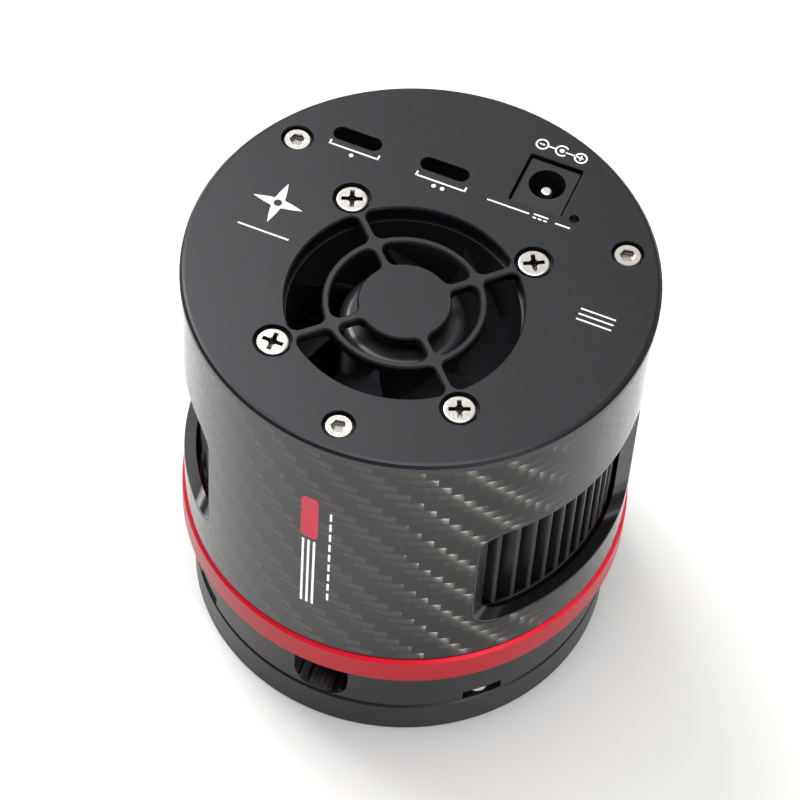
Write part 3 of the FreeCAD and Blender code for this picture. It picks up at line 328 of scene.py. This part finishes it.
def carbon():
    """Carbon twill under a clear coat: rounded floats with fine threads and a lengthwise gloss."""
    s = Shader("carbon_weave")
    x, y, z = s.split(s.where)
    turns = s.math("ARCTAN2", y, x)
    wobble = s.noise(55, 2.0)
    u = s.math("MULTIPLY", turns, SHELL_R / TOW)
    low_shift = EVEN_TOWS - TOW_WANDER
    high_shift = EVEN_TOWS + TOW_WANDER
    u = s.math("ADD", u, s.ramp(wobble, 0.0, 1.0, low_shift, high_shift))
    sideways = s.ramp(s.noise(47, 2.0), 0.0, 1.0, -TOW_WANDER, TOW_WANDER)
    v = s.math("ADD", s.math("DIVIDE", z, TOW), sideways)
    column = s.math("FLOOR", u)
    row = s.math("FLOOR", v)
    across_u = s.math("SUBTRACT", u, column)
    across_v = s.math("SUBTRACT", v, row)

    def float_place(along, crossing, shift):
        """Place along a float, 0 to 1, and above 1 where the tow is underneath."""
        raw = s.math("ADD", s.math("ADD", along, crossing), shift)
        wrapped = s.math("FRACT", s.math("MULTIPLY", raw, 1 / TOWS_PER_REPEAT))
        return s.math("MULTIPLY", wrapped, 2.0)

    def arch(place, across):
        """Height of a tow's float: a long arch along it and a rounded section across it."""
        rest = s.math("SUBTRACT", 1.0, place)
        long_way = s.math("MULTIPLY", s.math("MULTIPLY", place, rest), 4.0)
        edge = s.math("SUBTRACT", s.math("MULTIPLY", across, 2.0), 1.0)
        edge = s.math("POWER", s.math("ABSOLUTE", edge), FLOAT_ROUNDNESS)
        short_way = s.math("SUBTRACT", 1.0, edge)
        arched = s.math("MULTIPLY", long_way, ARCH_SHARE)
        return s.math("ADD", arched, s.math("MULTIPLY", short_way, SECTION_SHARE))

    axial_place = float_place(v, column, 0.0)
    hoop_place = float_place(u, row, 2.0)
    axial_on_top = s.math("LESS_THAN", axial_place, 1.0)
    lean = s.math("MULTIPLY", s.math("SUBTRACT", across_v, 0.5), FLOAT_SKEW)
    hoop_place = s.math("ADD", hoop_place, lean)
    axial_height = arch(axial_place, across_u)
    hoop_height = arch(hoop_place, across_v)
    mixer = s.tree.nodes.new("ShaderNodeMix")
    s.feed(mixer.inputs[0], axial_on_top)
    s.feed(mixer.inputs[2], hoop_height)
    s.feed(mixer.inputs[3], axial_height)
    height = mixer.outputs[0]

    def thread_noise(u_scale, v_scale, layer):
        """Fine streaks, stretched along a tow."""
        place = s.combine(s.math("MULTIPLY", u, u_scale), s.math("MULTIPLY", v, v_scale), layer)
        return s.noise(1.0, 2.0, vector=place)

    axial_threads = thread_noise(THREADS_ACROSS_TOW, THREADS_ALONG_TOW, 0.0)
    hoop_threads = thread_noise(THREADS_ALONG_TOW, THREADS_ACROSS_TOW, 7.0)
    threads = s.mix(axial_on_top, hoop_threads, axial_threads)
    relief = s.math("ADD", height, s.math("MULTIPLY", threads, THREAD_SHARE))
    tow_bump = s.bump(relief, FLOAT_DEPTH)

    length_axis = (0.0, 0.0, 1.0)
    outward = s.vector_math("NORMALIZE", s.combine(x, y, 0.0))
    around = s.vector_math("CROSS_PRODUCT", length_axis, outward)
    spread = s.mix(axial_on_top, length_axis, around)
    hoop_tint = s.mix(threads, (0.003, 0.003, 0.003), (0.068, 0.066, 0.061))
    axial_tint = s.mix(threads, (0.002, 0.002, 0.002), (0.015, 0.015, 0.014))
    tint = s.mix(axial_on_top, hoop_tint, axial_tint)
    s.set(Base_Color=tint, Metallic=1.0, Roughness=0.31, Anisotropic=1.0, Normal=tow_bump)
    s.feed(s.surface.inputs["Tangent"], spread)
    s.set(Specular_Tint=(0.12, 0.12, 0.12, 1.0))
    s.set(Coat_Weight=0.95, Coat_Roughness=0.08, Coat_IOR=1.45)
    return s


def give(node, shader):
    """Puts a material in every slot of a CAD node."""
    data = nodes[node].data
    if not data.materials:
        data.materials.append(shader.material)
    for index in range(len(data.materials)):
        data.materials[index] = shader.material


looks = {
    "cover_anodised": finish(
        "cover_anodised", (0.0055, 0.0060, 0.0075), 0.0, 0.35, grain=2600, depth=0.006,
        Specular_Tint=(0.93, 0.96, 1.0, 1.0), Specular_IOR_Level=0.45,
    ),
    "black_anodised": finish(
        "black_anodised", (0.0060, 0.0060, 0.0062), 0.0, 0.36, grain=2600, depth=0.005,
        Specular_IOR_Level=0.33,
    ),
    "red_anodised": red_ring_finish("red_anodised", RED_BEVEL_LOW),
    "carbon_weave": carbon(),
    "black_fins": fin_finish("black_fins", FIN_REACH),
    "black_plastic": finish("black_plastic", (0.008, 0.008, 0.009), 0.0, 0.22, grain=900, depth=0.002),
    "fan_plastic": finish("fan_plastic", (0.020, 0.021, 0.025), 0.0, 0.30, grain=900, depth=0.001),
    "nickel_steel": finish(
        "nickel_steel", (0.83, 0.81, 0.77), 1.0, 0.22, grain=1600, depth=0.002, mottle=0.04,
    ),
    "black_steel": finish("black_steel", (0.03, 0.03, 0.03), 0.6, 0.35),
    "bare_aluminium": finish("bare_aluminium", (0.75, 0.75, 0.76), 1.0, 0.32, grain=1400),
    "soft_rubber": finish("soft_rubber", (0.012, 0.012, 0.012), 0.0, 0.7, grain=700, depth=0.01),
    "heater_film": finish("heater_film", (0.42, 0.16, 0.03), 0.0, 0.3),
    "sensor_package": finish("sensor_package", (0.05, 0.045, 0.10), 0.3, 0.15),
    "green_board": finish("green_board", (0.010, 0.075, 0.030), 0.0, 0.35, grain=500, mottle=0.35),
    "white_plastic": finish("white_plastic", (0.78, 0.78, 0.74), 0.0, 0.4),
    "dark_plastic": finish("dark_plastic", (0.015, 0.015, 0.016), 0.0, 0.45),
    "white_ceramic": finish("white_ceramic", (0.82, 0.82, 0.79), 0.0, 0.5),
    "pellet_metal": finish("pellet_metal", (0.42, 0.42, 0.44), 1.0, 0.4),
    "grey_foam": finish("grey_foam", (0.10, 0.10, 0.105), 0.0, 0.9, grain=600, depth=0.12, mottle=0.3),
    "bronze": finish("bronze", (0.55, 0.34, 0.14), 1.0, 0.35),
    "magnet": finish("magnet", (0.035, 0.033, 0.03), 0.2, 0.5),
    "copper_wire": finish("copper_wire", (0.62, 0.25, 0.09), 1.0, 0.28),
    "lead_plastic": finish("lead_plastic", (0.02, 0.02, 0.022), 0.0, 0.4),
    "port_metal": finish("port_metal", (0.07, 0.07, 0.073), 1.0, 0.30),
    "jack_plastic": finish("jack_plastic", (0.0095, 0.0100, 0.0110), 0.0, 0.42, Specular_IOR_Level=0.42),
}
glass = finish("coated_glass", (0.93, 0.98, 0.96), 0.0, 0.02, depth=0.0002)
glass.set(Transmission_Weight=1.0, IOR=1.5)
looks["coated_glass"] = glass

slots = {entry["node"]: entry["material_slot"] for entry in frame["record"]["subparts"]}
for name in nodes:
    give(name, looks[slots[name]])


def corner_centres(node, head_r):
    """Centres of fasteners that stand on the corners of a node's box."""
    low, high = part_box(node)
    xs = (low[0] + head_r, high[0] - head_r)
    ys = (low[1] + head_r, high[1] - head_r)
    return [(x, y) for x in xs for y in ys]


def around_axis(radius, azimuths):
    """Level places on a circle about the camera's axis."""
    places = [direction(azimuth, 0.0) * radius for azimuth in azimuths]
    return [(place.x, place.y) for place in places]


give("fan_screws", screw_finish(
    "fan_screw_plating", PLATING, corner_centres("fan_screws", FAN_HEAD_R),
    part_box("fan_screws")[1][2], FAN_RECESS_REACH, FAN_RECESS_DEPTH,
))
give("cover_screws", screw_finish(
    "cover_screw_plating", PLATING, around_axis(COVER_SCREW_R, COVER_SCREW_AZIMUTHS),
    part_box("cover_screws")[1][2], SOCKET_REACH, SOCKET_DEPTH,
))
give("shell_gasket", finish(
    "gasket_rubber", (0.004, 0.004, 0.004), 0.0, 0.6, grain=700, depth=0.01, Specular_IOR_Level=0.15,
))
give("dc_jack_pin", finish("pin_plating", PLATING, 1.0, 0.25, grain=1600, depth=0.002, mottle=0.04))

# Marks and small parts

def on_cover(u, v, lift):
    """A place on the cover, from millimetres along X and Y."""
    return Vector((u * MM, v * MM, HEIGHT + lift))


def on_shell(azimuth):
    """Places on the shell, from millimetres round it from an azimuth and the height."""
    def place(u, v, lift):
        angle = math.radians(azimuth) + u * MM / SHELL_R
        reach = SHELL_R + lift * SHELL_LIFT
        return Vector((reach * math.cos(angle), reach * math.sin(angle), v * MM))
    return place


def bar(u, v, width, height, corner=0.0, columns=12):
    """A rounded bar round a centre, as columns from its lower to its upper edge."""
    steps = []
    for index in range(columns + 1):
        along = width * (index / columns - 0.5)
        from_end = min(width / 2 - abs(along), corner)
        fall = corner - math.sqrt(max(corner ** 2 - (corner - from_end) ** 2, 0.0))
        half = max(height / 2 - fall, height * 0.12)
        steps.append(((u + along, v - half), (u + along, v + half)))
    return steps, False


def ring(u, v, inner, outer, start=0.0, end=360.0, steps=40):
    """A flat ring, or an arc of one, as pairs of inner and outer points."""
    closed = end - start >= 360.0
    count = steps if closed else steps + 1
    pairs = []
    for index in range(count):
        angle = math.radians(start + (end - start) * index / steps)
        way = (math.cos(angle), math.sin(angle))
        pairs.append((
            (u + inner * way[0], v + inner * way[1]), (u + outer * way[0], v + outer * way[1]),
        ))
    return pairs, closed


def upright_bar(u, v, width, height):
    """A thin plain bar, taller than it is wide."""
    return bar(u, v, width, height, 0.0, 1)


def star(u, v, reach, waist, inner):
    """A four-pointed star with a round hole."""
    pairs = []
    for index in range(STAR_POINTS):
        angle = math.radians(360.0 * index / STAR_POINTS)
        sharp = abs(math.sin(2 * angle)) ** STAR_SHARPNESS
        outer = reach * (1 - sharp) + waist * sharp
        way = (math.cos(angle), math.sin(angle))
        pairs.append((
            (u + inner * way[0], v + inner * way[1]), (u + outer * way[0], v + outer * way[1]),
        ))
    return pairs, True


def attach(name, mesh, shader, body):
    """An object from a mesh, with its material, its body and its finish."""
    mesh.materials.append(shader.material)
    piece = bpy.data.objects.new(name, mesh)
    bpy.context.collection.objects.link(piece)
    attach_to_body(piece, body)
    return piece


def printed(name, shapes, place, shader):
    """A thin print of several flat shapes."""
    work = bmesh.new()
    for pairs, closed in shapes:
        low = [[work.verts.new(place(*point, -MARK_SINK)) for point in pair] for pair in pairs]
        high = [[work.verts.new(place(*point, MARK_PROUD)) for point in pair] for pair in pairs]
        count = len(pairs)
        for index in range(count if closed else count - 1):
            after = (index + 1) % count
            work.faces.new((high[index][0], high[after][0], high[after][1], high[index][1]))
            work.faces.new((low[index][0], low[index][1], low[after][1], low[after][0]))
            for side in (0, 1):
                wall = low[index][side], low[after][side], high[after][side], high[index][side]
                work.faces.new(wall)
        if not closed:
            for end in (0, -1):
                work.faces.new((low[end][0], low[end][1], high[end][1], high[end][0]))
    bmesh.ops.recalc_face_normals(work, faces=work.faces)
    mesh = bpy.data.meshes.new(name)
    work.to_mesh(mesh)
    work.free()
    return attach(name, mesh, shader, "camera")


white_print = finish("white_print", (0.80, 0.80, 0.79), 0.0, 0.55, grain=3000, depth=0.001, mottle=0.05)
red_print = finish(
    "red_print", (0.43, 0.018, 0.040), 0.0, 0.45, grain=3000, depth=0.001, mottle=0.04,
    Specular_IOR_Level=0.3,
)


def port_mark(x, y, dots):
    """A bracket under a port with one dot or two."""
    half = PORT_MARK_WIDTH / 2
    shapes = [bar(x, y, PORT_MARK_WIDTH, BOLD_LINE)]
    shapes += [upright_bar(x + side * half, y + 0.35, BOLD_LINE, 1.0) for side in (-1, 1)]
    for index in range(dots):
        shapes.append(ring(x + (index - (dots - 1) / 2) * 1.5, y - 1.05, 0.02, 0.38, steps=20))
    return shapes


def polarity_shapes():
    """The power jack's sign: minus, a ring round the centre pin's dot, and plus, joined by bars."""
    shapes = [ring(*place, 0.85, 1.15) for place in (MINUS_SIGN, PLUS_SIGN)]
    shapes += [ring(*CENTRE_SIGN, 0.9, 1.2, 40, 320), ring(*CENTRE_SIGN, 0.02, 0.42, steps=20)]
    shapes += [bar(9.9, 32.7, 1.3, FINE_LINE), bar(13.5, 32.6, 2.2, FINE_LINE)]
    shapes += [bar(*place, 0.95, FINEST_LINE) for place in (MINUS_SIGN, PLUS_SIGN)]
    u, v = PLUS_SIGN
    return shapes + [upright_bar(u, v + side * 0.36, FINEST_LINE, 0.34) for side in (1, -1)]


def supply_shapes():
    """The direct current sign, a bar over three dashes, between two plain bars."""
    shapes = [bar(SUPPLY_SIGN_U, 18.25, 2.5, LINE), bar(7.9, 17.95, 7.4, LINE), bar(17.5, 17.85, 2.6, LINE)]
    return shapes + [bar(SUPPLY_SIGN_U + offset, 17.55, 0.62, LINE) for offset in (-0.94, 0.0, 0.94)]


def cover_marks():
    """The prints on the cover."""
    marks = {
        "polarity_mark": polarity_shapes(),
        "port_mark_left": port_mark(*PORT_MARK_LEFT, 1),
        "port_mark_right": port_mark(*PORT_MARK_RIGHT, 2),
        "supply_mark": supply_shapes(),
        "star_mark": [star(*STAR_PLACE, 4.4, 1.25, 0.7), bar(-26.4, -3.5, 9.0, BOLD_LINE)],
        "edge_mark": [bar(EDGE_BARS_U, height, 6.0, LINE) for height in (3.3, 2.2, 1.1)],
    }
    for name, shapes in marks.items():
        printed(name, shapes, on_cover, white_print)


def shell_marks():
    """The red tag and the pinstripes on the shell."""
    place = on_shell(RED_TAG_AZIMUTH)
    tag = [bar(0.0, RED_TAG_HEIGHT, 3.1, 11.2, 0.9)]
    printed("red_tag", tag, place, red_print)
    stripes = [bar(offset, STRIPE_HEIGHT, 0.42, 18.4, 0.0, 2) for offset in (-1.0, 0.0, 1.0)]
    dashes = [bar(3.7, 40.6 + DASH_PITCH * index, 0.38, 2.0, 0.0, 2) for index in range(DASHES)]
    printed("side_lines", stripes + dashes, place, white_print)


cover_marks()
shell_marks()


def block_mesh(name, boxes, corner):
    """Several upright blocks as one mesh, from lowest and highest corners, with their edges eased."""
    work = bmesh.new()
    for low, high in boxes:
        low = Vector(low)
        high = Vector(high)
        middle = (low + high) / 2
        size = high - low
        matrix = Matrix.Translation(middle) @ Matrix.Diagonal((*size, 1.0))
        bmesh.ops.create_cube(work, size=1.0, matrix=matrix)
    bmesh.ops.bevel(work, geom=work.edges[:], offset=corner, segments=2, affect="EDGES")
    mesh = bpy.data.meshes.new(name)
    work.to_mesh(mesh)
    work.free()
    return mesh


def usb_contacts():
    """Gold contacts on both faces of the two tongues."""
    low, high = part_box("usb_tongues")
    bottom, top = (high[2] - depth for depth in CONTACT_ENDS)
    centre_y = (low[1] + high[1]) / 2
    half = (high[1] - low[1]) / 2
    boxes = []
    for port_low, port_high in (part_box("usb_port_left"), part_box("usb_port_right")):
        middle = (port_low[0] + port_high[0]) / 2
        for index in range(CONTACTS):
            x = middle + (index - (CONTACTS - 1) / 2) * CONTACT_PITCH
            for side in (-1, 1):
                face = centre_y + side * half
                near, far = sorted((face - side * 0.05 * MM, face + side * 0.04 * MM))
                left, right = x - CONTACT_HALF_WIDTH, x + CONTACT_HALF_WIDTH
                boxes.append(((left, near, bottom), (right, far, top)))
    mesh = block_mesh("usb_contacts", boxes, BLOCK_EDGE)
    attach("usb_contacts", mesh, looks["bronze"], "camera")


def sensor_details():
    """The light-sensitive area of the chip and the bond pads beside it."""
    glass_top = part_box("sensor_cover_glass")[1][2]
    half = PIXEL_AREA_HALF
    s = Shader("pixel_array")
    sheen = s.mix(s.noise(60, 2.0), (0.030, 0.055, 0.050), (0.055, 0.035, 0.075))
    s.set(Base_Color=sheen, Metallic=0.7, Roughness=0.12)
    s.set(Coat_Weight=0.6, Coat_Roughness=0.03)
    area = [((-half, -half, SENSOR_PLANE - 0.03 * MM), (half, half, SENSOR_PLANE + 0.02 * MM))]
    mesh = block_mesh("pixel_array", area, PIXEL_AREA_EDGE)
    attach("pixel_array", mesh, s, "camera")
    pads = []
    half_size = Vector((0.1, 0.35, 0.1)) * MM
    for side in (-1, 1):
        for index in range(BOND_PADS):
            u = (index - (BOND_PADS - 1) / 2) * BOND_PAD_PITCH
            centre = Vector((u, side * BOND_PAD_ROW, glass_top + 1.0 * MM))
            pads.append((centre - half_size, centre + half_size))
    mesh = block_mesh("bond_pads", pads, BLOCK_EDGE)
    attach("bond_pads", mesh, looks["bronze"], "camera")


def telescope_thread():
    """The screw thread's crests in the tilt plate's bore."""
    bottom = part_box("tilt_plate")[0][2] / MM + THREAD_START
    root = BORE_R + 0.06
    crest = BORE_R - THREAD_CREST
    profile = ((root, -0.30), (crest, -0.06), (crest, 0.06), (root, 0.30))
    work = bmesh.new()
    rows = []
    for index in range(int(THREAD_LENGTH / THREAD_PITCH * THREAD_STEPS) + 1):
        angle = 2 * math.pi * index / THREAD_STEPS
        height = bottom + THREAD_PITCH * index / THREAD_STEPS
        rows.append([
            work.verts.new(Vector((r * math.cos(angle), r * math.sin(angle), height + rise)) * MM)
            for r, rise in profile
        ])
    for here, there in zip(rows, rows[1:]):
        for index in range(len(profile)):
            after = (index + 1) % len(profile)
            work.faces.new((here[index], here[after], there[after], there[index]))
    for end in (rows[0], rows[-1]):
        work.faces.new(end)
    bmesh.ops.recalc_face_normals(work, faces=work.faces)
    mesh = bpy.data.meshes.new("telescope_thread")
    work.to_mesh(mesh)
    work.free()
    attach("telescope_thread", mesh, looks["black_anodised"], "tilt_plate")


usb_contacts()
sensor_details()
telescope_thread()

# Studio

def floor():
    """A wide pale floor just under the object."""
    mesh = bpy.data.meshes.new("floor")
    corners = [(x * FLOOR_HALF, y * FLOOR_HALF, 0) for x, y in ((-1, -1), (1, -1), (1, 1), (-1, 1))]
    mesh.from_pydata(corners, [], [(0, 1, 2, 3)])
    piece = bpy.data.objects.new("floor", mesh)
    bpy.context.collection.objects.link(piece)
    s = Shader("floor_paper")
    s.set(Base_Color=s.mix(s.noise(30), (0.86, 0.855, 0.84), (0.89, 0.885, 0.87)), Roughness=0.75)
    s.set(Specular_IOR_Level=0.2)
    mesh.materials.append(s.material)
    piece.location.z = -FLOOR_GAP


def lamp(name, azimuth, elevation, distance, size, strength):
    """A soft box that faces the object."""
    data = bpy.data.lights.new(name, "AREA")
    data.shape = "RECTANGLE"
    data.size, data.size_y = size
    data.energy = strength
    lamp_object = bpy.data.objects.new(name, data)
    bpy.context.collection.objects.link(lamp_object)
    away = direction(azimuth, elevation)
    lamp_object.location = away * distance + LAMP_AIM
    lamp_object.rotation_euler = away.to_track_quat("Z", "Y").to_euler()


def world(color, dim, bright, azimuth, elevation):
    """A plain room, brighter towards one direction than elsewhere."""
    surroundings = bpy.data.worlds.new("studio")
    surroundings.use_nodes = True
    tree = surroundings.node_tree
    background = tree.nodes["Background"]
    background.inputs[0].default_value = (*color, 1.0)
    coordinates = tree.nodes.new("ShaderNodeTexCoord")
    facing = tree.nodes.new("ShaderNodeVectorMath")
    facing.operation = "DOT_PRODUCT"
    facing.inputs[1].default_value = direction(azimuth, elevation)
    tree.links.new(coordinates.outputs["Generated"], facing.inputs[0])
    level = tree.nodes.new("ShaderNodeMapRange")
    level.interpolation_type = "SMOOTHSTEP"
    for socket, number in zip(list(level.inputs)[1:5], (0.25, 0.95, dim, bright)):
        socket.default_value = number
    tree.links.new(facing.outputs["Value"], level.inputs[0])
    tree.links.new(level.outputs[0], background.inputs[1])
    bpy.context.scene.world = surroundings


def camera():
    """The view of the photograph."""
    data = bpy.data.cameras.new("camera")
    data.lens = CAMERA_LENS
    data.sensor_width = FILM_WIDTH
    data.clip_start = 0.01
    data.clip_end = 20.0
    view = bpy.data.objects.new("camera", data)
    bpy.context.collection.objects.link(view)
    back = direction(CAMERA_AZIMUTH, CAMERA_ELEVATION)
    level = direction(CAMERA_AZIMUTH + 90.0, 0.0)
    above = back.cross(level)
    roll = math.radians(CAMERA_ROLL)
    right = level * math.cos(roll) + above * math.sin(roll)
    up = back.cross(right)
    turn = Matrix((right, up, back)).transposed().to_4x4()
    view.matrix_world = Matrix.Translation(CAMERA_AIM + back * CAMERA_DISTANCE) @ turn
    bpy.context.scene.camera = view


floor()
camera()
world(ROOM_COLOUR, dim=0.10, bright=0.62, azimuth=120, elevation=62)
lamp("key_soft_box", azimuth=152, elevation=50, distance=0.95, size=(0.5, 0.5), strength=8.4)
lamp("right_soft_box", azimuth=-35, elevation=5, distance=0.9, size=(0.12, 0.12), strength=9.5)
lamp("top_soft_box", azimuth=-71, elevation=84, distance=1.2, size=(1.0, 1.0), strength=9.0)
bpy.context.scene.view_settings.view_transform = "Standard"
